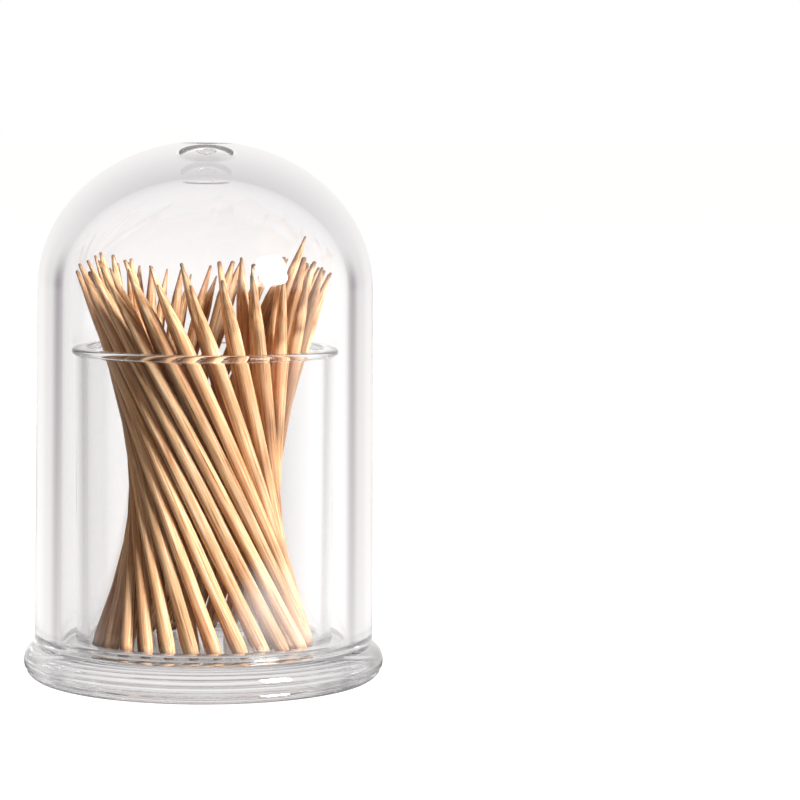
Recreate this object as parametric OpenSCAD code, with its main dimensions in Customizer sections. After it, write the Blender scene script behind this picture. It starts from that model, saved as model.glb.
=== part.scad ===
// Clear toothpick holder: a round base with a locating ring, a flanged cup that sits inside the ring,
// a thick domed cover that lifts off, and the toothpicks, which stand in the cup as a twisted sheaf.
// Lengths are in millimetres and angles in degrees. The origin is the middle of the underside, +Z is up.

/* [Base] */
// Thickness of the base plate
base_h = 5.6; // [5:0.1:8]
// How far the base stands out past the cover
ledge = 1.6; // [0.8:0.1:5]
// Height of the locating ring above the plate
ring_h = 1.2; // [1:0.1:4]
// Thickness of the locating ring, between the cup and the cover
ring_wall = 2.3; // [2:0.1:4]
// Chamfer on the two top edges of the locating ring
ring_chamfer = 0.2; // [0.1:0.1:0.8]
// Depth of the cup's seat below the top of the plate
seat_depth = 2.55; // [1.5:0.05:3.5]
// Depth of the shallow hollow under the base
hollow_depth = 0.6; // [0.2:0.1:1.2]
// Width of the ring that the base stands on
foot_w = 3; // [2:0.5:8]

/* [Cup] */
// Outer diameter of the cup just under its rim
cup_d = 39.3; // [38:0.1:46]
// Height of the cup from its underside to its rim
cup_h = 47.75; // [44:0.25:54]
// Thickness of the cup's wall
cup_wall = 1.75; // [1.2:0.05:2]
// Thickness of the cup's floor
cup_floor = 1.9; // [1.2:0.1:3]
// How far the cup's foot lies inside its rim's wall, on each side
cup_foot_inset = 0.2; // [0.1:0.05:0.4]
// How far the rim stands out past the cup's wall
rim_flange = 0.6; // [0.3:0.1:1.2]
// Thickness of the rim
rim_h = 1; // [0.5:0.1:1.5]
// Chamfer on the edges of the rim
rim_chamfer = 0.2; // [0.1:0.05:0.25]

/* [Cover] */
// Thickness of the cover's wall where the dome begins
cover_wall = 3.7; // [2:0.1:5]
// How much the outside widens from the dome down to the mouth, on each side
cover_flare = 0.4; // [0.2:0.1:1]
// How much the bore widens from the dome down to the mouth, on each side
bore_flare = 0.2; // [0.1:0.05:0.5]
// Height of the dome's outside above the straight wall
dome_rise = 22.2; // [18:0.1:28]
// Thickness of the crown, from the dome's inside to its full outside curve
crown_wall = 4.6; // [3:0.1:7]
// Height of the cylindrical mouth that slips over the locating ring
mouth_h = 3; // [2.5:0.1:5]
// Chamfer on the mouth's inner edge
mouth_chamfer = 0.3; // [0.1:0.1:0.6]
// Radius of the mouth's outer edge
mouth_round = 0.6; // [0.3:0.1:1]
// Diameter of the moulding dish on top of the dome
dish_d = 8.6; // [6:0.1:12]
// Depth of the moulding dish below its edge
dish_depth = 0.4; // [0.2:0.05:0.8]
// Diameter of the gate mark in the dish
gate_d = 3; // [2:0.1:4]
// Height of the gate mark above the dish's floor
gate_h = 0.35; // [0.1:0.05:0.4]

/* [Toothpicks] */
// Length of a toothpick
pick_l = 65; // [62:0.5:70]
// Diameter of a toothpick's shank
pick_d = 1.9; // [1.7:0.05:2.1]
// Diameter of a toothpick's tip
tip_d = 0.9; // [0.5:0.05:1.1]
// Length of the taper down to the tip
taper_l = 9; // [5:0.5:12]
// Diameter of the blunt cut at a toothpick's foot
foot_d = 1.4; // [0.9:0.05:1.6]
// Length of the taper down to the foot
foot_taper_l = 3; // [1:0.5:9]
// Toothpicks in the outer ring, which sets how wide the sheaf is at its waist
outer_count = 28; // [24:1:30]
// Toothpicks in the ring that lies against the outer one
middle_count = 23; // [18:1:23]
// Toothpicks in the loose inner ring, of which one is drawn up
inner_count = 5; // [2:1:5]
// How far the drawn toothpick has come up along its own length
drawn_lift = 2; // [0.2:0.1:2.5]

/* [Fits] */
// Gap all round between the cover's mouth and the locating ring
cover_clearance = 0.1; // [0.05:0.05:0.2]
// Gap all round between the cup and the locating ring
cup_clearance = 0.05; // [0.02:0.01:0.1]
// Gap between neighbouring toothpicks of the outer ring at the waist
pick_clearance = 0.21; // [0.18:0.01:0.3]
// Gap between one ring of toothpicks and the next at the waist
ring_clearance = 0.16; // [0.14:0.01:0.3]
// Gap between a toothpick's foot and the cup's floor
stand_clearance = 0.08; // [0.04:0.01:0.2]
// Gap between the outer feet and the cup's wall
foot_clearance = 0.2; // [0.1:0.05:0.5]
// Gap between the outer toothpicks and the cup's rim, where the rim stops their lean
rim_clearance = 0.3; // [0.2:0.05:1]
// Gap between the outer tips and the cover's wall, where the wall stops their lean
tip_clearance = 0.6; // [0.5:0.05:1.5]
// Height left over the outer tips under the dome
head_room = 1.5; // [1:0.1:4]

/* [Hidden] */
$fn = 96;
arc_steps = 36;
edge_steps = 14;
settle_rounds = 12;

// Extra gap between two rings of toothpicks at their tips, where their leans differ
end_gap = 0.3;
// Greatest change in lean round the sheaf, and where it leans most
swing_angle = 1.3;
swing_turn = 121;
// Small unevenness of the lean and the place of single toothpicks, and how much shorter some are than others
lean_scatter_angle = 0.3;
turn_scatter_angle = 0.2;
length_scatter = 1.1;
// Width across a toothpick where it passes the rim at a slant, as a share of its diameter
slant_share = 1.1547;
// Direction in which the drawn toothpick stands at the waist
drawn_turn = 66;
// Turn between one number of the scatter and the next
golden_angle = 137.508;
scatter_strides = [1, 2, 3];

// Cup
cup_r = cup_d / 2;
cup_foot_r = cup_r - cup_foot_inset;
cup_bore_r = cup_r - cup_wall;
cup_floor_r = cup_foot_r - cup_wall;
rim_r = cup_r + rim_flange;
seat_z = base_h - seat_depth;
floor_z = seat_z + cup_floor;
rim_z = seat_z + cup_h;

// Locating ring, cover and base, each worked out from the one inside it
seat_r = cup_foot_r + cup_foot_inset * (base_h + ring_h - seat_z) / cup_h + cup_clearance;
ring_r = seat_r + ring_wall;
ring_z = base_h + ring_h;
mouth_r = ring_r + cover_clearance;
bore_r = mouth_r - bore_flare;
cover_r = bore_r + cover_wall;
mouth_out_r = cover_r + cover_flare;
base_r = mouth_out_r + ledge;
edge_r = base_h / 2;
foot_r = base_r - edge_r;
foot_in_r = foot_r - foot_w;

// Rings of the sheaf: 0 is outside, 1 lies against it, 2 is the loose inner one
ring_counts = [outer_count, middle_count, inner_count];
pick_count = outer_count + middle_count + inner_count - 1;
pick_r = pick_d / 2;
tip_r = tip_d / 2;
pick_foot_r = foot_d / 2;
ring_step = pick_d + ring_clearance;
end_step = ring_step + end_gap;
foot_reach_r = cup_floor_r - pick_foot_r - foot_clearance;
rim_reach_r = cup_bore_r - pick_r * slant_share - rim_clearance;
tip_reach_r = bore_r - tip_r - tip_clearance;
// A straight toothpick that passes the axis at waist radius w covers this much ground to radius r
function reach(w, r) = sqrt(pow(r, 2) - pow(w, 2));
function foot_reach(k, w) = reach(w, foot_reach_r - k * end_step);
// Each ring leans until the cup's rim or the cover's wall stops it
function rim_lean(k, w) = atan((foot_reach(k, w) + reach(w, rim_reach_r - k * end_step)) / (rim_z - floor_z));
function cover_lean(k, w) = asin((foot_reach(k, w) + reach(w, tip_reach_r - k * end_step)) / pick_l);
function lean_at(k, w) = min(rim_lean(k, w), cover_lean(k, w));
// The outer toothpicks stand side by side at the waist, whose radius settles with their lean
function settled_r(w, rounds) = rounds == 0 ? w :
    settled_r(outer_count * (pick_d + pick_clearance) / (2 * PI * cos(lean_at(0, w))), rounds - 1);
sheaf_r = settled_r(tip_reach_r / 2, settle_rounds);
function waist_r(k) = sheaf_r - k * ring_step;
function ring_lean(k) = lean_at(k, waist_r(k));
function waist_z(k) = floor_z + foot_reach(k, waist_r(k)) / tan(ring_lean(k));

// Cover height, from the tips of the outer ring
outer_tip_z = floor_z + pick_l * cos(ring_lean(0));
outer_tip_r = sqrt(pow(waist_r(0), 2) + pow((outer_tip_z - waist_z(0)) * tan(ring_lean(0)), 2)) + tip_r;
bore_rise = dome_rise - crown_wall;
spring_z = outer_tip_z + head_room - bore_rise * sqrt(1 - pow(outer_tip_r / bore_r, 2));

clear_color = "aliceblue";
clear_alpha = 0.4;
wood_colors = ["burlywood", "tan", "wheat", "navajowhite"];

function toothpick_name(number) = str("toothpick_", number < 10 ? "0" : "", number);

// Points on an elliptical arc about a centre, from one angle to another
function arc(center, rx, rz, from, to, steps) = [
    for (i = [0 : steps])
        let (a = from + (to - from) * i / steps)
            [center[0] + rx * cos(a), center[1] + rz * sin(a)]
];

// A number from -1 to 1 that looks random but is the same each time
function scatter(i, stride) = sin(golden_angle * (i + 1) * stride);

// Base: rounded plate, foot ring, cup seat and locating ring in one revolved outline
module base() {
    color(clear_color, clear_alpha)
        rotate_extrude()
            polygon(concat(
                [[0, hollow_depth], [foot_in_r - hollow_depth, hollow_depth], [foot_in_r, 0]],
                arc([foot_r, edge_r], edge_r, edge_r, -90, 90, edge_steps),
                [
                    [ring_r, base_h],
                    [ring_r, ring_z - ring_chamfer],
                    [ring_r - ring_chamfer, ring_z],
                    [seat_r + ring_chamfer, ring_z],
                    [seat_r, ring_z - ring_chamfer],
                    [seat_r, seat_z],
                    [0, seat_z]
                ]
            ));
}

// Cup: tapered tumbler with a flat floor and a thin flanged rim
module cup() {
    color(clear_color, clear_alpha)
        rotate_extrude()
            polygon([
                [0, seat_z],
                [cup_foot_r, seat_z],
                [cup_r, rim_z - rim_h],
                [rim_r - rim_chamfer, rim_z - rim_h],
                [rim_r, rim_z - rim_h + rim_chamfer],
                [rim_r, rim_z - rim_chamfer],
                [rim_r - rim_chamfer, rim_z],
                [cup_bore_r + rim_chamfer, rim_z],
                [cup_bore_r, rim_z - rim_chamfer],
                [cup_floor_r, floor_z],
                [0, floor_z]
            ]);
}

// Cover: straight flared wall under an elliptical dome, with a cylindrical mouth and a gate mark
module cover() {
    dish_angle = acos(dish_d / 2 / cover_r);
    dish_z = spring_z + dome_rise * sin(dish_angle) - dish_depth;
    color(clear_color, clear_alpha)
        rotate_extrude()
            polygon(concat(
                [[mouth_r + mouth_chamfer, base_h]],
                arc([mouth_out_r - mouth_round, base_h + mouth_round], mouth_round, mouth_round, -90, 0, edge_steps),
                arc([0, spring_z], cover_r, dome_rise, 0, dish_angle, arc_steps),
                [[dish_d / 2, dish_z], [gate_d / 2, dish_z], [gate_d / 2, dish_z + gate_h], [0, dish_z + gate_h]],
                arc([0, spring_z], bore_r, bore_rise, 90, 0, arc_steps),
                [[mouth_r, base_h + mouth_h], [mouth_r, base_h + mouth_chamfer]]
            ));
}

// One toothpick lying along +Z from its foot at the origin
module toothpick(length) {
    rotate_extrude()
        polygon([
            [0, 0],
            [pick_foot_r, 0],
            [pick_r, foot_taper_l],
            [pick_r, length - taper_l],
            [tip_r, length],
            [0, length]
        ]);
}

// Toothpick number i, in place j of ring k, leaning sideways past the axis and drawn up by lift
module standing_toothpick(i, k, j, lift = 0) {
    place = j + (k == 1 ? 0.5 : 0);
    turn = 360 / ring_counts[k] * place + (k == 2 ? drawn_turn : 0)
        + turn_scatter_angle * scatter(i, scatter_strides[1]);
    lean = ring_lean(k) - swing_angle * (1 + cos(2 * (turn + swing_turn)))
        - lean_scatter_angle * (1 + scatter(i, scatter_strides[0]));
    length = pick_l - length_scatter * (1 - scatter(i, scatter_strides[2]));
    foot_z = floor_z + stand_clearance + pick_foot_r * sin(lean);
    below_waist = (waist_z(k) - foot_z) / cos(lean) - lift;
    color(wood_colors[i % len(wood_colors)])
        rotate([0, 0, turn])
            translate([waist_r(k), 0, waist_z(k)])
                rotate([lean, 0, 0])
                    translate([0, 0, -below_waist])
                        toothpick(length);
}

base();
cup();
cover();
standing_toothpick(pick_count, 2, 0, drawn_lift);  // drawn_toothpick
for (j = [0 : ring_counts[0] - 1])
    standing_toothpick(j, 0, j);
for (j = [0 : ring_counts[1] - 1])
    let (i = ring_counts[0] + j)
        standing_toothpick(i, 1, j);
for (j = [1 : inner_count - 1])
    let (i = ring_counts[0] + ring_counts[1] + j - 1)
        standing_toothpick(i, 2, j);
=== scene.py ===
import math

import bmesh
import bpy
import numpy as np
from mathutils import Matrix, Vector


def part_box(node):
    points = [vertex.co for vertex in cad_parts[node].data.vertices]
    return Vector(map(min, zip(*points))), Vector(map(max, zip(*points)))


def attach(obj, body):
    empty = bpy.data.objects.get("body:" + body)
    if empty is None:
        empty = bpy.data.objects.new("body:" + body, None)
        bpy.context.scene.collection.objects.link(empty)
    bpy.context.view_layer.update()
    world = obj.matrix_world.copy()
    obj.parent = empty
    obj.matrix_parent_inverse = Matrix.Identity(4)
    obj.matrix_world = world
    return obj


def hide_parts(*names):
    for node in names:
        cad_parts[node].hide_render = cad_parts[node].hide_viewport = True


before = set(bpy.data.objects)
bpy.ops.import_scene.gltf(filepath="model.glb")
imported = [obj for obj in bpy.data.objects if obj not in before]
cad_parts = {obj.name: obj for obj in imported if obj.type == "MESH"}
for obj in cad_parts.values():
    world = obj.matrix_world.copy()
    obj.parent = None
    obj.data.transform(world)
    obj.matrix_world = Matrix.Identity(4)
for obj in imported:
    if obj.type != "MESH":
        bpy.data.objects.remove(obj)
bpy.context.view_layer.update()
mm = 0.001
print("frame:", len(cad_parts), "nodes")

# Camera at the photograph's height, looking a little down and to the right of the holder
cameraView = {"place": (0, -0.5236, 0.0897), "down": 5.13, "right": 3.25, "roll": 0.55, "lens": 155.07,
              "sensor": 36}


def makeCamera():
    data = bpy.data.cameras.new("camera")
    data.lens = cameraView["lens"]
    data.sensor_width = cameraView["sensor"]
    camera = bpy.data.objects.new("camera", data)
    bpy.context.scene.collection.objects.link(camera)
    turn = Matrix.Rotation(math.radians(-cameraView["right"]), 4, "Z")
    tilt = Matrix.Rotation(math.radians(90 - cameraView["down"]), 4, "X")
    roll = Matrix.Rotation(math.radians(cameraView["roll"]), 4, "Z")
    camera.matrix_world = Matrix.Translation(cameraView["place"]) @ turn @ tilt @ roll
    bpy.context.scene.camera = camera


makeCamera()
print("camera: done")


def linear(hexColour):
    parts = [int(hexColour[i:i + 2], 16) / 255 for i in (1, 3, 5)]
    return tuple(p / 12.92 if p <= 0.04045 else ((p + 0.055) / 1.055) ** 2.4 for p in parts) + (1,)


def newMaterial(name):
    material = bpy.data.materials.new(name)
    material.use_nodes = True
    material.node_tree.nodes.clear()
    return material


# Adds a node with its settings and links. A value goes on the socket, and a (node, output) pair is linked
# to it. An underscore stands for a space, and _0 is the first socket
def addNode(tree, kind, settings=None, **inputs):
    node = tree.nodes.new("ShaderNode" + kind)
    for key, value in (settings or {}).items():
        setattr(node, key, value)
    for key, value in inputs.items():
        socket = node.inputs[int(key[1:])] if key[1:].isdigit() else node.inputs[key.replace("_", " ")]
        if isinstance(value, tuple) and isinstance(value[0], bpy.types.Node):
            tree.links.new(value[0].outputs[value[1]], socket)
        else:
            socket.default_value = value
    return node


def setRamp(node, stops):
    ramp = node.color_ramp
    while len(ramp.elements) < len(stops):
        ramp.elements.new(0.5)
    for element, (place, colour) in zip(ramp.elements, stops):
        element.position = place
        element.color = colour


# Clear polystyrene, injection moulded in a polished die: water clear with sharp highlights, a faint
# grey where the wall is looked through lengthways, and the slow waviness that moulding leaves.
# The waves' length and height are in millimetres
clearPlastic = {"tint": "#FFFFFF", "ior": 1.53, "roughness": 0.0, "waviness": 22, "waveHeight": 0.02,
                "waveDetail": 1.0, "waveRoughness": 0.3, "absorb": "#E8E6E4", "density": 1.0,
                "shadowTint": "#FAFAFA"}
# The same plastic where the gate was twisted off: torn, and so frosted and mottled
gateScar = dict(clearPlastic, roughness=0.4, waviness=0.35, waveHeight=0.06)


def clearPolystyrene(name, finish):
    material = newMaterial(name)
    tree = material.node_tree
    place = addNode(tree, "TexCoord")
    wave = addNode(tree, "TexNoise", None, Vector=(place, "Object"), Scale=1000 / finish["waviness"],
                   Detail=finish["waveDetail"], Roughness=finish["waveRoughness"])
    bump = addNode(tree, "Bump", None, Strength=1.0, Distance=finish["waveHeight"] * mm,
                   Height=(wave, "Fac"))
    glass = addNode(tree, "BsdfPrincipled", None, Base_Color=linear(finish["tint"]), Normal=(bump, "Normal"),
                    Roughness=finish["roughness"], IOR=finish["ior"], Transmission_Weight=1.0)
    # Lamps and light bounced off the wood pass straight through
    through = addNode(tree, "BsdfTransparent", None, Color=linear(finish["shadowTint"]))
    path = addNode(tree, "LightPath")
    either = addNode(tree, "Math", {"operation": "MAXIMUM"}, _0=(path, "Is Shadow Ray"),
                     _1=(path, "Is Diffuse Ray"))
    mix = addNode(tree, "MixShader", None, _0=(either, 0), _1=(glass, 0), _2=(through, 0))
    smoke = addNode(tree, "VolumeAbsorption", None, Color=linear(finish["absorb"]),
                    Density=finish["density"])
    addNode(tree, "OutputMaterial", None, Surface=(mix, 0), Volume=(smoke, 0))
    return material


# Raw birch, turned and tumbled: pale warm wood, matte, with fine dark fibres along its length, broad
# ruddy bands, a tone of its own on each toothpick, and brown bruised ends. Lengths are in millimetres, and
# the From, To and At values are levels of the noise that draws the fibres, the bands and the tone
birchWood = {"dark": "#8C5833", "darkAt": 0.3, "middle": "#DBAC7D", "middleAt": 0.47, "light": "#F6D7B4",
             "lightAt": 0.68, "fibreWidth": 0.26, "fibreLength": 10, "fibreDetail": 3.0,
             "fibreRoughness": 0.6, "ruddy": "#CF8A62", "ruddyShare": 0.55, "bandWidth": 1.0,
             "bandLength": 40, "bandDetail": 2.0, "bandFrom": 0.45, "bandTo": 0.7, "toneLength": 90,
             "toneFrom": 0.35, "toneTo": 0.65, "darkest": 0.72, "palest": 1.12, "end": "#4E3826",
             "endShare": 0.85, "endLength": 1.4, "pore": 0.04, "roughness": 0.62, "specular": 0.12}


def birch():
    material = newMaterial("rawBirch")
    tree = material.node_tree
    wood = birchWood
    place = addNode(tree, "Attribute", {"attribute_name": "woodPlace"})
    fromEnd = addNode(tree, "Attribute", {"attribute_name": "fromEnd"})
    across, along = 1 / wood["fibreWidth"], 1 / wood["fibreLength"]
    drawn = addNode(tree, "Mapping", None, Vector=(place, "Vector"), Scale=(across, across, along))
    fibre = addNode(tree, "TexNoise", None, Vector=(drawn, 0), Scale=1.0, Detail=wood["fibreDetail"],
                    Roughness=wood["fibreRoughness"])
    across, along = 1 / wood["bandWidth"], 1 / wood["bandLength"]
    wide = addNode(tree, "Mapping", None, Vector=(place, "Vector"), Scale=(across, across, along))
    band = addNode(tree, "TexNoise", None, Vector=(wide, 0), Scale=1.0, Detail=wood["bandDetail"])
    tone = addNode(tree, "TexNoise", None, Vector=(place, "Vector"), Scale=1 / wood["toneLength"],
                   Detail=0.0)
    grain = addNode(tree, "ValToRGB", None, Fac=(fibre, "Fac"))
    setRamp(grain, [(wood[name + "At"], linear(wood[name])) for name in ("dark", "middle", "light")])
    warm = addNode(tree, "MapRange", None, Value=(band, "Fac"), From_Min=wood["bandFrom"],
                   From_Max=wood["bandTo"], To_Min=0.0, To_Max=wood["ruddyShare"])
    ruddy = addNode(tree, "Mix", {"data_type": "RGBA"}, Factor=(warm, 0), A=(grain, "Color"),
                    B=linear(wood["ruddy"]))
    shade = addNode(tree, "MapRange", None, Value=(tone, "Fac"), From_Min=wood["toneFrom"],
                    From_Max=wood["toneTo"], To_Min=wood["darkest"], To_Max=wood["palest"])
    toned = addNode(tree, "HueSaturation", None, Value=(shade, 0), Color=(ruddy, "Result"))
    worn = addNode(tree, "MapRange", None, Value=(fromEnd, "Fac"), From_Min=0.0, From_Max=wood["endLength"],
                   To_Min=wood["endShare"], To_Max=0.0)
    ended = addNode(tree, "Mix", {"data_type": "RGBA"}, Factor=(worn, 0), A=(toned, "Color"),
                    B=linear(wood["end"]))
    bump = addNode(tree, "Bump", None, Strength=1.0, Distance=wood["pore"] * mm, Height=(fibre, "Fac"))
    matte = addNode(tree, "BsdfPrincipled", None, Base_Color=(ended, "Result"), Normal=(bump, "Normal"),
                    Roughness=wood["roughness"], Specular_IOR_Level=wood["specular"])
    addNode(tree, "OutputMaterial", None, Surface=(matte, 0))
    return material


clearFinish = clearPolystyrene("clearPolystyrene", clearPlastic)
scarFinish = clearPolystyrene("tornPolystyrene", gateScar)
birchFinish = birch()
print("finishes: done")


def finished(name, bm, material):
    mesh = bpy.data.meshes.new(name)
    bm.to_mesh(mesh)
    bm.free()
    mesh.materials.append(material)
    for polygon in mesh.polygons:
        polygon.use_smooth = True
    piece = bpy.data.objects.new(name, mesh)
    bpy.context.scene.collection.objects.link(piece)
    return piece


# Clear pieces are sections turned round the axis, in millimetres: how finely, and how far apart
turning = {"steps": 240, "roundingSteps": 6, "longFace": 1.2, "shortStep": 0.15, "airGap": 0.03}
# A rounding error on a circle of radius 1, and the distance in metres at which two points are one
roundOff = 1e-5
samePoint = 1e-7


# The right half of a circle squeezed to width and height, from its lowest point to its highest
def halfRound(width, height, steps):
    circle = bmesh.new()
    bmesh.ops.create_circle(circle, segments=4 * steps, radius=1)
    half = sorted((v.co.y, v.co.x) for v in circle.verts if v.co.x > -roundOff)
    circle.free()
    return [(abs(x) * width, y * height) for y, x in half]


# Turns a section round the axis. Its corners are (radius, height, rounding)
def turned(corners):
    bm = bmesh.new()
    points = [bm.verts.new((r * mm, 0, z * mm)) for r, z, _ in corners]
    bm.faces.new(points)
    for rounding in sorted({c[2] for c in corners if c[2]}):
        rounded = [p for p, c in zip(points, corners) if c[2] == rounding]
        bmesh.ops.bevel(bm, geom=rounded, offset=rounding * mm, affect="VERTICES",
                        segments=turning["roundingSteps"], profile=0.5, material=-1)
    bmesh.ops.delete(bm, geom=bm.faces[:], context="FACES_ONLY")
    onAxis = [e for e in bm.edges if all(v.co.x < samePoint for v in e.verts)]
    bmesh.ops.delete(bm, geom=onAxis, context="EDGES")
    # A short step at both ends of each long face keeps the shading of the roundings off it
    shortStep = turning["shortStep"] * mm
    for edge in [e for e in bm.edges if e.calc_length() > turning["longFace"] * mm]:
        start, end = edge.verts
        near = bmesh.utils.edge_split(edge, start, shortStep / edge.calc_length())[1]
        rest = next(e for e in near.link_edges if end in e.verts)
        bmesh.utils.edge_split(rest, end, shortStep / rest.calc_length())
    bmesh.ops.spin(bm, geom=bm.verts[:] + bm.edges[:], cent=(0, 0, 0), axis=(0, 0, 1), angle=math.tau,
                   steps=turning["steps"], use_merge=True)
    bmesh.ops.remove_doubles(bm, verts=bm.verts, dist=samePoint)
    bmesh.ops.recalc_face_normals(bm, faces=bm.faces)
    return bm


# Sizes in millimetres. Outside sizes come from the frame
baseSize = {"plate": 5.6, "edgeSteps": 24, "ringRadius": 21.81, "ringWall": 2.3, "ringChamfer": 0.2,
            "seat": 3.05, "hollow": 0.6, "footWidth": 3.0, "softening": 0.08, "rootFillet": 0.2,
            "seamHeight": 1.7, "seamWidth": 0.7, "seamDepth": 0.4}


def makeBase():
    size = baseSize
    radius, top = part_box("base")[1].x / mm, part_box("base")[1].z / mm
    edge = size["plate"] / 2
    foot = radius - edge
    footInside = foot - size["footWidth"]
    ring, chamfer, soft = size["ringRadius"], size["ringChamfer"], size["softening"]
    seat = ring - size["ringWall"]
    corners = [(0, size["hollow"], 0), (footInside - size["hollow"], size["hollow"], soft),
               (footInside, 0, soft)]
    # The mould's seam is a fine groove round the lower half of the edge
    for x, y in halfRound(edge, edge, size["edgeSteps"]):
        inSeam = abs(edge + y - size["seamHeight"]) < size["seamWidth"] / 2
        corners.append((foot + x - inSeam * size["seamDepth"], edge + y, 0))
    corners += [(ring, size["plate"], size["rootFillet"]), (ring, top - chamfer, soft),
                (ring - chamfer, top, soft), (seat + chamfer, top, soft), (seat, top - chamfer, soft),
                (seat, size["seat"], soft), (0, size["seat"], 0)]
    return finished("clearBase", turned(corners), clearFinish)


# The cup's outside narrows by inset towards its foot
cupSize = {"radius": 19.65, "inset": 0.2, "wall": 1.75, "floor": 1.9, "rimHeight": 1.0, "rimRound": 0.45,
           "underRim": 0.15, "heel": 0.5, "corner": 0.6}


def makeCup():
    size = cupSize
    low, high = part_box("cup")
    rim, bottom, top = high.x / mm, low.z / mm, high.z / mm
    bore = size["radius"] - size["wall"]
    foot = size["radius"] - size["inset"]
    under = top - size["rimHeight"]
    lowest = bottom + turning["airGap"]
    corners = [(0, lowest, 0), (foot, lowest, size["heel"]), (size["radius"], under, size["underRim"]),
               (rim, under, size["rimRound"]), (rim, top, size["rimRound"]), (bore, top, size["rimRound"]),
               (foot - size["wall"], bottom + size["floor"], size["corner"]), (0, bottom + size["floor"], 0)]
    return finished("clearCup", turned(corners), clearFinish)


# The dish on top is a shallow bowl round the gate mark. Shares are of the bowl's width, of the gate's
# radius and of the gate's height, and the gate's face is lower in the middle
coverSize = {"wall": 3.7, "flare": 0.4, "boreFlare": 0.2, "rise": 22.2, "crown": 4.6, "domeSteps": 48,
             "mouth": 3.0, "mouthEdge": 0.3, "mouthRound": 0.6, "mouthTop": 0.1, "dish": 8.6,
             "dishDepth": 0.5, "bowlFrom": 0.93, "bowlTo": 0.1, "bowlSteps": 8, "gate": 3.0,
             "gateHeight": 0.35, "gateFoot": 0.08, "gateEdge": 0.06, "gateTopShare": 0.92,
             "gateMiddleShare": 0.9, "scarFrom": 0.05}


def makeCover():
    size = coverSize
    low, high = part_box("cover")
    mouthOut, bottom, top = high.x / mm, low.z / mm, high.z / mm
    outside = mouthOut - size["flare"]
    bore = outside - size["wall"]
    mouth = bore + size["boreFlare"]
    dish, gate = size["dish"] / 2, size["gate"] / 2
    spring = top - size["rise"] * math.sqrt(1 - (dish / outside) ** 2)
    dishFloor = top - size["dishDepth"]
    outer = [(r, spring + h, 0) for r, h in halfRound(outside, size["rise"], size["domeSteps"])
             if h > -roundOff * size["rise"] and r > dish]
    inner = [(r, spring + h, 0) for r, h in halfRound(bore, size["rise"] - size["crown"], size["domeSteps"])
             if h > -roundOff * size["rise"]]
    bowl = [(gate + (dish - gate) * x, dishFloor + size["dishDepth"] * x ** 2, 0)
            for x in np.linspace(size["bowlFrom"], size["bowlTo"], size["bowlSteps"])]
    scar = [(gate, dishFloor, size["gateFoot"]),
            (gate * size["gateTopShare"], dishFloor + size["gateHeight"], size["gateEdge"]),
            (0, dishFloor + size["gateHeight"] * size["gateMiddleShare"], 0)]
    lowest = bottom + turning["airGap"]
    corners = [(mouth, lowest, size["mouthEdge"]), (mouthOut, lowest, size["mouthRound"])]
    corners += outer + [(dish, top, 0)] + bowl + scar
    corners += inner[::-1] + [(mouth, bottom + size["mouth"], size["mouthTop"])]
    cover = finished("clearCover", turned(corners), clearFinish)
    cover.data.materials.append(scarFinish)
    for polygon in cover.data.polygons:
        torn = polygon.center.xy.length < gate * mm and polygon.center.z > (dishFloor + size["scarFrom"]) * mm
        polygon.material_index = int(torn)
    return cover


clearPieces = ((makeBase, "base", "holder"), (makeCup, "cup", "holder"), (makeCover, "cover", "cover"))
for make, node, body in clearPieces:
    piece = make()
    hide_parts(node)
    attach(piece, body)
    print(piece.name + ":", len(piece.data.polygons), "faces")

# Toothpicks: a long point above, a blunt foot, and the slight unevenness of turned wood. Sizes in
# millimetres; steps and places named From and To are shares of the point, the foot's taper or the length
pickSize = {"shank": 1.9, "shankShare": 0.985, "shankSteps": 7, "sides": 14, "swell": 0.012,
            "tip": 0.44, "tipChange": 0.2, "tipEdge": 0.12, "tipEdgeShare": 0.7,
            "taper": 11.0, "taperChange": 2.5, "taperCurve": 1.25, "taperSteps": (0.85, 0.65, 0.45, 0.22),
            "foot": 1.34, "footEdge": 0.1, "footEdgeShare": 0.9, "footTaper": 3.0, "footSteps": (0.3, 0.65),
            "tipBend": 0.28, "tipBendFrom": 0.45, "footBend": 0.06, "footBendTo": 0.3,
            "flatten": 0.1, "flattenFrom": 0.5}
# Each toothpick is turned by this angle from the last, and cut from the wood this far from the last
goldenAngle = math.radians(137.508)
woodStep = Vector((7.3, 3.1, 211))
# How near a corner of a toothpick's node lies to its end, in metres
endSlack = 2e-5


# A number from -1 to 1 that looks random and is the same each time. Each use has a stride of its own
def uneven(number, stride):
    return math.sin(goldenAngle * (number + 1) * stride)


# Foot, direction and length of a toothpick, from the corners of its node
def pickPlace(node):
    corners = np.unique(np.array([v.co for v in node.data.vertices]).round(7), axis=0)
    way = np.linalg.svd(corners - corners.mean(0))[2][0]
    way *= np.sign(way[2])
    along = corners @ way
    ends = [corners[abs(along - limit) < endSlack] for limit in (along.min(), along.max())]
    foot, top = (Vector(e.min(0) + e.max(0)) / 2 for e in ends)
    return foot, (top - foot).normalized(), (top - foot).length / mm


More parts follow.
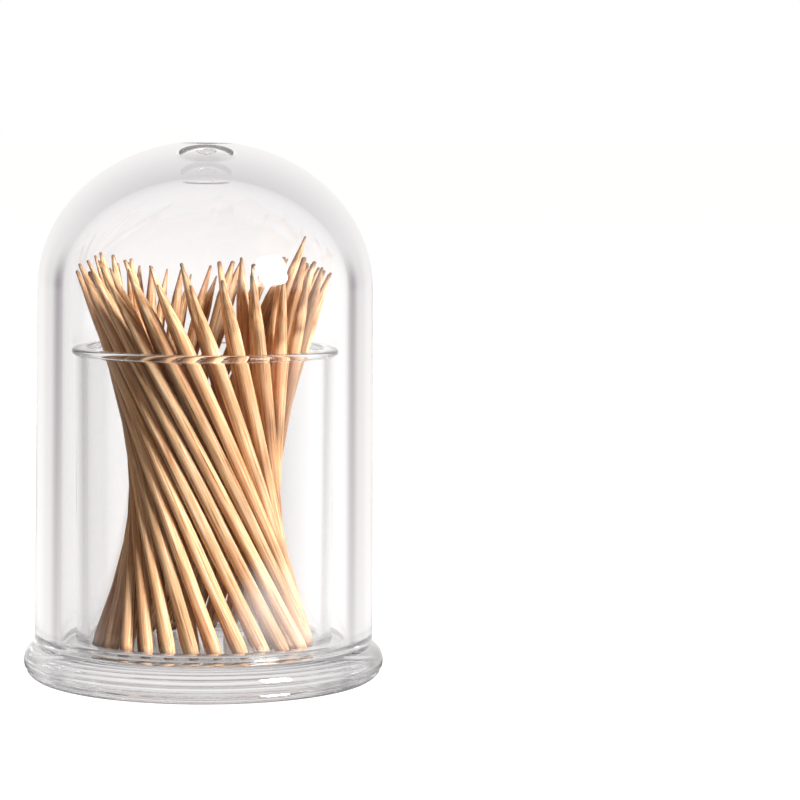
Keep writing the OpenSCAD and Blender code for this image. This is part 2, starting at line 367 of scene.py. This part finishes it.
# Heights and radii of a toothpick from its foot to its tip
def pickStations(number, full, length):
    size = pickSize
    end, tip = size["foot"] / 2, size["tip"] / 2 + size["tipChange"] / 2 * uneven(number, 5)
    rise, taper = size["footTaper"], size["taper"] + size["taperChange"] * uneven(number, 7)
    lower = [(0.0, end * size["footEdgeShare"]), (size["footEdge"], end)]
    lower += [(rise * x, end + (full - end) * (2 - x) * x) for x in size["footSteps"]]
    shank = [(rise + (length - rise - taper) * x / size["shankSteps"],
              full * (1 + size["swell"] * uneven(number + x * 11, 3))) for x in range(size["shankSteps"] + 1)]
    upper = [(length - taper * x, tip + (full - tip) * math.sin(x * math.pi / 2) ** size["taperCurve"])
             for x in size["taperSteps"]]
    upper += [(length - size["tipEdge"], tip), (length, tip * size["tipEdgeShare"])]
    return lower + shank + upper


def makePick(name, number):
    size = pickSize
    foot, way, length = pickPlace(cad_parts[name])
    full = size["shank"] / 2 * (size["shankShare"] + size["swell"] * uneven(number, 4))
    stations = pickStations(number, full, length)
    bm = bmesh.new()
    bmesh.ops.create_circle(bm, cap_ends=True, segments=size["sides"], radius=stations[0][1] * mm)
    face, last, aside = bm.faces[:][0], (0, stations[0][1], 1), Vector((0, 0, 0))
    for height, radius in stations[1:]:
        grown = bmesh.ops.extrude_face_region(bm, geom=[face])["geom"]
        face = next(g for g in grown if isinstance(g, bmesh.types.BMFace))
        share = height / length
        bend = size["tipBend"] * max(0, (share - size["tipBendFrom"]) / (1 - size["tipBendFrom"])) ** 2
        bend += size["footBend"] * max(0, size["footBendTo"] - share) ** 2
        shift = Vector((bend * uneven(number, 9), bend * uneven(number, 10), 0)) * mm
        bmesh.ops.translate(bm, verts=face.verts, vec=shift - aside + Vector((0, 0, (height - last[0]) * mm)))
        flat = size["flatten"] * uneven(number, 11) * (share > size["flattenFrom"])
        oval = 1 + flat * (1 - radius / full)
        widen, narrow = oval / last[2], last[2] / oval
        bmesh.ops.scale(bm, verts=face.verts, vec=(radius / last[1] * widen, radius / last[1] * narrow, 1),
                        space=Matrix.Translation(-face.calc_center_median()))
        last, aside = (height, radius, oval), shift
    bmesh.ops.recalc_face_normals(bm, faces=bm.faces)
    place = bm.verts.layers.float_vector.new("woodPlace")
    fromEnd = bm.verts.layers.float.new("fromEnd")
    for v in bm.verts:
        v[place] = v.co / mm + woodStep * number
        v[fromEnd] = min(v.co.z / mm, length - v.co.z / mm)
    turn = way.to_track_quat("Z", "Y").to_matrix().to_4x4()
    spin = Matrix.Rotation(goldenAngle * number, 4, "Z")
    bmesh.ops.transform(bm, verts=bm.verts, matrix=Matrix.Translation(foot) @ turn @ spin)
    return finished("wood_" + name, bm, birchFinish)


pickNames = sorted(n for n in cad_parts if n.endswith("toothpick") or n.startswith("toothpick_"))
for number, name in enumerate(pickNames):
    pick = makePick(name, number)
    # The sides are smooth and the two ends are cut flat
    for polygon in pick.data.polygons:
        polygon.use_smooth = len(polygon.vertices) == 4
    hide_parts(name)
    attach(pick, "drawn_toothpick" if name == "drawn_toothpick" else "holder")
print("toothpicks:", len(pickNames))

# Softboxes, in metres. The key lamp stands right of the camera and gives the bright spot on the dome.
# The other two stand for light from the whole room, so no piece shows them as lamps
keyLamp = {"place": (0.67, -0.61, 0.35), "aim": (0.0, 0.0, 0.05), "size": (0.36, 0.4), "power": 35.5,
           "shown": True, "fadeFrom": 0.15}
fillLamp = {"place": (0.85, -0.75, 0.5), "aim": (0.0, 0.0, 0.04), "size": (0.5, 0.5), "power": 6.0,
            "shown": False, "fadeFrom": 0.15}
backLamp = {"place": (-0.5, 0.95, 0.5), "aim": (0.0, 0.0, 0.04), "size": (0.5, 0.5), "power": 9.0,
            "shown": False, "fadeFrom": 0.15}


def makeLamp(name, lamp):
    data = bpy.data.lights.new(name, "AREA")
    data.shape = "RECTANGLE"
    data.size, data.size_y = lamp["size"]
    data.energy = lamp["power"]
    data.use_nodes = True
    tree = data.node_tree
    tree.nodes.clear()
    # The cloth of a softbox is brightest in the middle and fades at its edges
    spot = addNode(tree, "NewGeometry")
    apart = addNode(tree, "VectorMath", {"operation": "MULTIPLY_ADD"}, _0=(spot, "Parametric"),
                    _1=(2, 2, 0), _2=(-1, -1, 0))
    squared = addNode(tree, "VectorMath", {"operation": "MULTIPLY"}, _0=(apart, 0), _1=(apart, 0))
    edge = addNode(tree, "VectorMath", {"operation": "DOT_PRODUCT"}, _0=(squared, 0), _1=(squared, 0))
    cloth = addNode(tree, "MapRange", {"interpolation_type": "SMOOTHSTEP"}, Value=(edge, "Value"),
                    From_Min=lamp["fadeFrom"], From_Max=1.0, To_Min=1.0, To_Max=0.0)
    shine = addNode(tree, "Emission", None, Strength=(cloth, 0))
    addNode(tree, "OutputLight", None, Surface=(shine, 0))
    softbox = bpy.data.objects.new(name, data)
    softbox.location = lamp["place"]
    softbox.rotation_euler = (Vector(lamp["aim"]) - Vector(lamp["place"])).to_track_quat("-Z", "Y").to_euler()
    softbox.visible_camera = False
    softbox.visible_glossy = softbox.visible_transmission = lamp["shown"]
    bpy.context.scene.collection.objects.link(softbox)


makeLamp("keySoftbox", keyLamp)
makeLamp("fillSoftbox", fillLamp)
makeLamp("backSoftbox", backLamp)
print("lamps: done")

# A matte white table that also glows, in metres. Its glow lights the pieces less than the camera sees, so
# that they aren't lit from below
whiteTable = {"colour": "#FFFFFF", "glow": 0.97, "lightingShare": 0.25, "matte": 0.16, "reach": 6,
              "depth": 0.00002}


def makeFloor():
    material = newMaterial("paleFloor")
    tree = material.node_tree
    path = addNode(tree, "LightPath")
    level = addNode(tree, "MapRange", None, Value=(path, "Is Diffuse Ray"), To_Min=whiteTable["glow"],
                    To_Max=whiteTable["glow"] * whiteTable["lightingShare"])
    shine = addNode(tree, "Emission", None, Color=linear(whiteTable["colour"]), Strength=(level, 0))
    matte = addNode(tree, "BsdfDiffuse", None, Color=(whiteTable["matte"],) * 3 + (1,))
    both = addNode(tree, "AddShader", None, _0=(shine, 0), _1=(matte, 0))
    addNode(tree, "OutputMaterial", None, Surface=(both, 0))
    material.cycles.emission_sampling = "NONE"
    bm = bmesh.new()
    bmesh.ops.create_grid(bm, x_segments=1, y_segments=1, size=whiteTable["reach"])
    bmesh.ops.translate(bm, verts=bm.verts, vec=(0, 0, -whiteTable["depth"]))
    floor = finished("floor", bm, material)
    # Glass and gloss see the room's white lower half in place of the floor
    floor.visible_transmission = floor.visible_glossy = False


# Where the key lamp's light lies brightest on the table, seen only as a gleam low on the clear cover
lightPool = {"middle": (0.0766, -0.098, 0.0005), "reach": (0.06, 0.094, 1), "turn": 38, "glow": 8.5}


def makeLightPool():
    pool = lightPool
    bm = bmesh.new()
    bmesh.ops.create_grid(bm, x_segments=1, y_segments=1, size=1)
    bmesh.ops.scale(bm, verts=bm.verts, vec=pool["reach"])
    place = Matrix.Translation(pool["middle"]) @ Matrix.Rotation(math.radians(pool["turn"]), 4, "Z")
    bmesh.ops.transform(bm, verts=bm.verts, matrix=place)
    material = newMaterial("lightPool")
    tree = material.node_tree
    spot = addNode(tree, "TexCoord")
    inside = addNode(tree, "Mapping", {"vector_type": "TEXTURE"}, Vector=(spot, "Object"),
                     Location=pool["middle"], Rotation=(0, 0, math.radians(pool["turn"])),
                     Scale=pool["reach"])
    reach = addNode(tree, "VectorMath", {"operation": "LENGTH"}, _0=(inside, 0))
    fade = addNode(tree, "MapRange", {"interpolation_type": "SMOOTHSTEP"}, Value=(reach, "Value"),
                   To_Min=pool["glow"], To_Max=0.0)
    shine = addNode(tree, "Emission", None, Strength=(fade, 0))
    clear = addNode(tree, "BsdfTransparent")
    both = addNode(tree, "AddShader", None, _0=(shine, 0), _1=(clear, 0))
    addNode(tree, "OutputMaterial", None, Surface=(both, 0))
    material.cycles.emission_sampling = "NONE"
    gleam = finished("lightPool", bm, material)
    gleam.visible_camera = gleam.visible_diffuse = gleam.visible_transmission = gleam.visible_shadow = False


# The ring of table in the base's own shadow, seen only in and through the clear plastic. It is darkest
# between from and to
contactShade = {"inside": 0.015, "from": 0.0245, "to": 0.029, "outside": 0.046, "dark": 0.05,
                "depth": 0.00001, "sides": 96}


def makeContactShade():
    shade = contactShade
    bm = bmesh.new()
    bmesh.ops.create_circle(bm, cap_ends=True, segments=shade["sides"], radius=shade["outside"])
    bmesh.ops.translate(bm, verts=bm.verts, vec=(0, 0, -shade["depth"]))
    material = newMaterial("contactShade")
    tree = material.node_tree
    spot = addNode(tree, "TexCoord")
    reach = addNode(tree, "VectorMath", {"operation": "LENGTH"}, _0=(spot, "Object"))
    within = addNode(tree, "MapRange", {"interpolation_type": "SMOOTHSTEP"}, Value=(reach, "Value"),
                     From_Min=shade["from"], From_Max=shade["inside"], To_Min=shade["dark"], To_Max=1.0)
    beyond = addNode(tree, "MapRange", {"interpolation_type": "SMOOTHSTEP"}, Value=(reach, "Value"),
                     From_Min=shade["to"], From_Max=shade["outside"], To_Min=shade["dark"], To_Max=1.0)
    level = addNode(tree, "Math", {"operation": "MAXIMUM"}, _0=(within, 0), _1=(beyond, 0))
    shine = addNode(tree, "Emission", None, Strength=(level, 0))
    addNode(tree, "OutputMaterial", None, Surface=(shine, 0))
    material.cycles.emission_sampling = "NONE"
    disc = finished("contactShade", bm, material)
    disc.visible_camera = disc.visible_diffuse = disc.visible_shadow = False


# The room: white, with grey corners and a grey ceiling that draw the outlines of the clear pieces. The
# wood is lit by light and lightPower in its place
room = {"sky": "#FFFDFC", "seenSky": 1.07, "mirroredSky": 0.89, "high": "#DAD7D9", "corner": "#989196",
        "cornerShare": 0.8, "cornerPower": 13, "front": "#37322F", "leftWall": 0.3, "rightWall": 1.6,
        "light": "#FFD8AC", "lightPower": 0.185}
# Where the room changes from one tone to the next, as parts of the direction looked in, from -1 to 1
roomPlaces = {"high": (0.02, 0.75), "front": (-0.1, -0.45), "low": (0.1, -0.02), "walls": (0.75, 0.97),
              "mirrored": (-0.16, -0.02)}


def makeWorld():
    world = bpy.data.worlds.new("studio")
    bpy.context.scene.world = world
    world.use_nodes = True
    tree = world.node_tree
    tree.nodes.clear()
    path = addNode(tree, "LightPath")
    way = addNode(tree, "TexCoord")
    toward = addNode(tree, "SeparateXYZ", None, Vector=(way, "Generated"))
    start, end = roomPlaces["high"]
    rise = addNode(tree, "MapRange", None, Value=(toward, "Z"), From_Min=start, From_Max=end)
    # The square of x times y is greatest halfway between the four sides of the room, at a quarter, and
    # there its corners are grey
    across = addNode(tree, "Math", {"operation": "MULTIPLY"}, _0=(toward, "X"), _1=(toward, "Y"))
    corner = addNode(tree, "Math", {"operation": "MULTIPLY"}, _0=(across, 0), _1=(across, 0))
    corners = addNode(tree, "MapRange", None, Value=(corner, 0), From_Max=0.25)
    sharper = addNode(tree, "Math", {"operation": "POWER"}, _0=(corners, 0), _1=room["cornerPower"])
    faint = addNode(tree, "Math", {"operation": "MULTIPLY"}, _0=(corners, 0), _1=1 - room["cornerShare"])
    grey = addNode(tree, "Math", {"operation": "MULTIPLY_ADD"}, _0=(sharper, 0), _1=room["cornerShare"],
                   _2=(faint, 0))
    sides = addNode(tree, "Mix", {"data_type": "RGBA"}, Factor=(grey, 0), A=linear(room["sky"]),
                    B=linear(room["corner"]))
    back = addNode(tree, "Mix", {"data_type": "RGBA"}, Factor=(rise, 0), A=(sides, "Result"),
                   B=linear(room["high"]))
    # The white table ends in front of the holder. Below the camera the room is dark in reflections, and the
    # clear walls hardly veil what stands in them
    start, end = roomPlaces["front"]
    nearer = addNode(tree, "MapRange", {"interpolation_type": "SMOOTHSTEP"}, Value=(toward, "Y"),
                     From_Min=start, From_Max=end)
    start, end = roomPlaces["low"]
    lower = addNode(tree, "MapRange", {"interpolation_type": "SMOOTHSTEP"}, Value=(toward, "Z"),
                    From_Min=start, From_Max=end)
    there = addNode(tree, "Math", {"operation": "MULTIPLY"}, _0=(nearer, 0), _1=(lower, 0))
    # What is seen straight through the clear pieces has met no reflection and stays light
    reflected = addNode(tree, "Math", {"operation": "MINIMUM"}, _0=(path, "Glossy Depth"), _1=1.0)
    dark = addNode(tree, "Math", {"operation": "MULTIPLY"}, _0=(there, 0), _1=(reflected, 0))
    tone = addNode(tree, "Mix", {"data_type": "RGBA"}, Factor=(dark, 0), A=(back, "Result"),
                   B=linear(room["front"]))
    level = addNode(tree, "MapRange", None, Value=(path, "Is Diffuse Ray"), To_Min=room["seenSky"],
                    To_Max=room["lightPower"])
    mild = addNode(tree, "Mix", {"data_type": "RGBA"}, Factor=(path, "Is Diffuse Ray"), A=(tone, "Result"),
                   B=linear(room["light"]))
    # Gloss shows a room that is dim on the left and above, and a reflector that stands on the right
    start, end = roomPlaces["walls"]
    left = addNode(tree, "MapRange", None, Value=(toward, "X"), From_Min=-start, From_Max=-end, To_Min=1.0,
                   To_Max=room["leftWall"])
    right = addNode(tree, "MapRange", None, Value=(toward, "X"), From_Min=start, From_Max=end, To_Min=1.0,
                    To_Max=room["rightWall"])
    walls = addNode(tree, "Math", {"operation": "MULTIPLY"}, _0=(left, 0), _1=(right, 0))
    start, end = roomPlaces["mirrored"]
    above = addNode(tree, "MapRange", None, Value=(toward, "Z"), From_Min=start, From_Max=end, To_Min=1.0,
                    To_Max=room["mirroredSky"])
    dimmed = addNode(tree, "Math", {"operation": "MULTIPLY"}, _0=(walls, 0), _1=(above, 0))
    mirrored = addNode(tree, "Mix", None, Factor=(reflected, 0), A=1.0, B=(dimmed, 0))
    strength = addNode(tree, "Math", {"operation": "MULTIPLY"}, _0=(level, 0), _1=(mirrored, 0))
    around = addNode(tree, "Background", None, Color=(mild, "Result"), Strength=(strength, 0))
    # The camera itself sees plain white
    white =addNode(tree, "Background", None, Color=(1, 1, 1, 1), Strength=1.0)
    mix = addNode(tree, "MixShader", None, _0=(path, "Is Camera Ray"), _1=(around, 0), _2=(white, 0))
    addNode(tree, "OutputWorld", None, Surface=(mix, 0))


makeFloor()
makeLightPool()
makeContactShade()
makeWorld()
print("studio: done")

# Light crosses many clear walls on its way to the camera
scene = bpy.context.scene
scene.view_settings.view_transform = "Standard"
scene.cycles.max_bounces = 64
scene.cycles.glossy_bounces = 64
scene.cycles.transmission_bounces = 64
scene.cycles.transparent_max_bounces = 32
